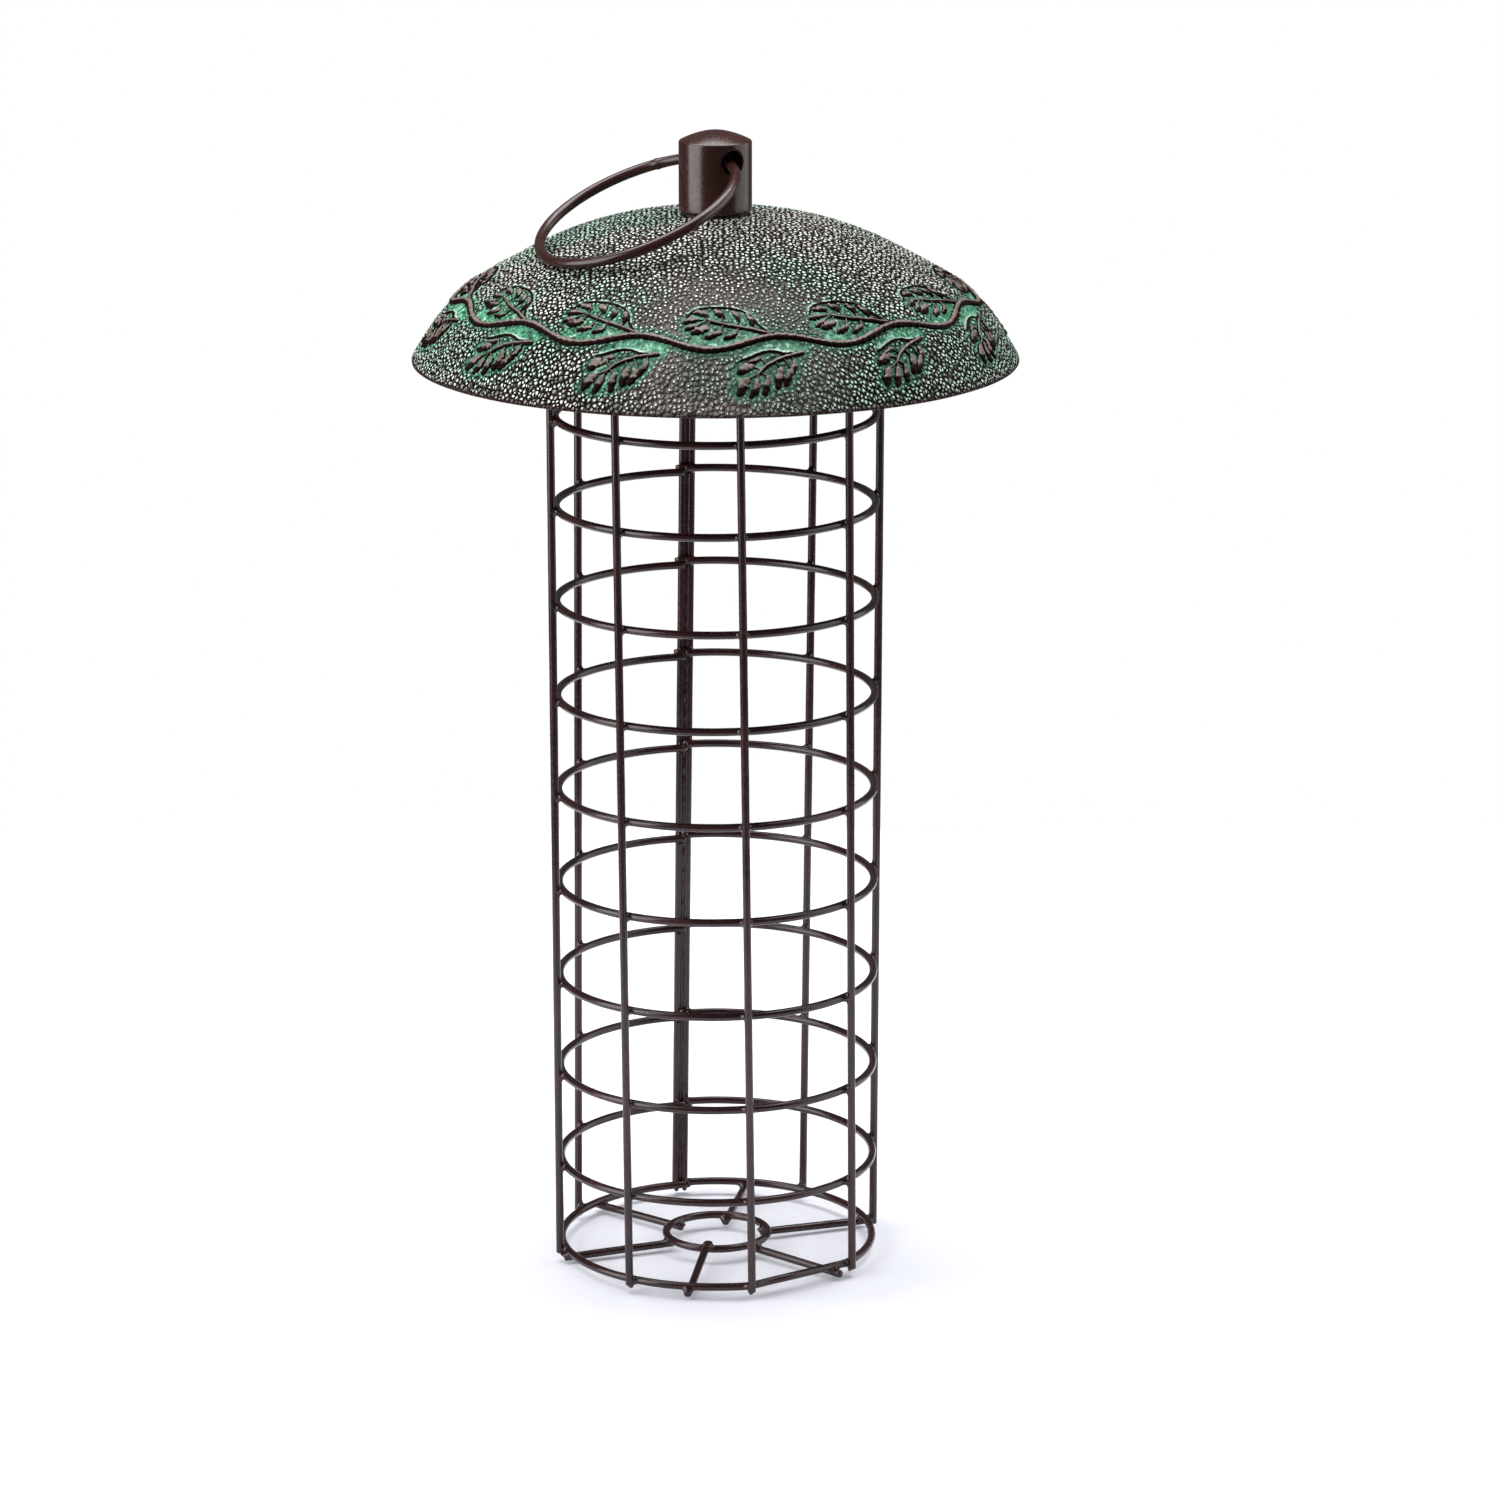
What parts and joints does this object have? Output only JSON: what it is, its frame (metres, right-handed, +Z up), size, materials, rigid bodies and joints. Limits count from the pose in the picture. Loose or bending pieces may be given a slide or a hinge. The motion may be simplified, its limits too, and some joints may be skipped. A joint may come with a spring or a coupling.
{
  "type": "hanging bird feeder",
  "caption": "Tall round wire-mesh cage for fat balls under a domed canopy stamped with a leafy vine, with a twist knob and a swinging hanging ring.",
  "frame": {"origin": "centre of the base, on the surface that the base spokes stand on", "axes": "+Z up the cage's centre line to the knob; -Y is the front, seen by the picture; +X is to its right"},
  "size_m": [0.1886, 0.1886, 0.3626],
  "materials": {
    "wire_paint": "satin dark brown paint over welded steel wire",
    "knob_paint": "satin reddish-brown paint",
    "patina_paint": "hammered brown paint with rubbed green patina over raised leaves",
    "plated_steel": "zinc plated",
    "black_nylon": "moulded nylon"
  },
  "bodies": {
    "cage": {"base_ring": "wire_paint", "cage_ring_01": "wire_paint", "cage_ring_02": "wire_paint", "cage_ring_03": "wire_paint", "cage_ring_04": "wire_paint", "cage_ring_05": "wire_paint", "cage_ring_06": "wire_paint", "cage_ring_07": "wire_paint", "cage_ring_08": "wire_paint", "cage_ring_09": "wire_paint", "cage_ring_10": "wire_paint", "cage_wire_1": "wire_paint", "cage_wire_2": "wire_paint", "cage_wire_3": "wire_paint", "cage_wire_4": "wire_paint", "cage_wire_5": "wire_paint", "cage_wire_6": "wire_paint", "cage_wire_7": "wire_paint", "seam_wire_left": "wire_paint", "seam_wire_right": "wire_paint", "base_centre_ring": "wire_paint", "base_spoke_1": "wire_paint", "base_spoke_2": "wire_paint", "base_spoke_3": "wire_paint", "base_spoke_4": "wire_paint", "base_spoke_5": "wire_paint", "base_spoke_6": "wire_paint", "catch_plate": "wire_paint", "locked_stop": "wire_paint", "open_stop": "wire_paint"},
    "lid": {"canopy": "patina_paint", "lid_collar": "wire_paint"},
    "knob_and_lock_bar": {"knob": "knob_paint", "knob_washer": "black_nylon", "canopy_washer": "plated_steel", "spring_washer": "plated_steel", "lock_shaft": "plated_steel", "lock_bar": "plated_steel", "lock_nut": "plated_steel"},
    "hanger": {"hanging_ring": "wire_paint"}
  },
  "joints": [
    {"name": "lid_lift", "type": "slide", "parent": "cage", "child": "lid", "axis": [0, 0, 1], "range_m": [0, 0.1]},
    {"name": "knob_turn", "type": "hinge", "parent": "lid", "child": "knob_and_lock_bar", "pos_m": [0, 0, 0.3364], "axis": [0, 0, 1], "range_deg": [0, 90]},
    {"name": "ring_swing", "type": "hinge", "parent": "knob_and_lock_bar", "child": "hanger", "pos_m": [0, 0, 0.353], "axis": [-0.5299, 0.848, 0], "range_deg": [0, 228.8]}
  ]
}
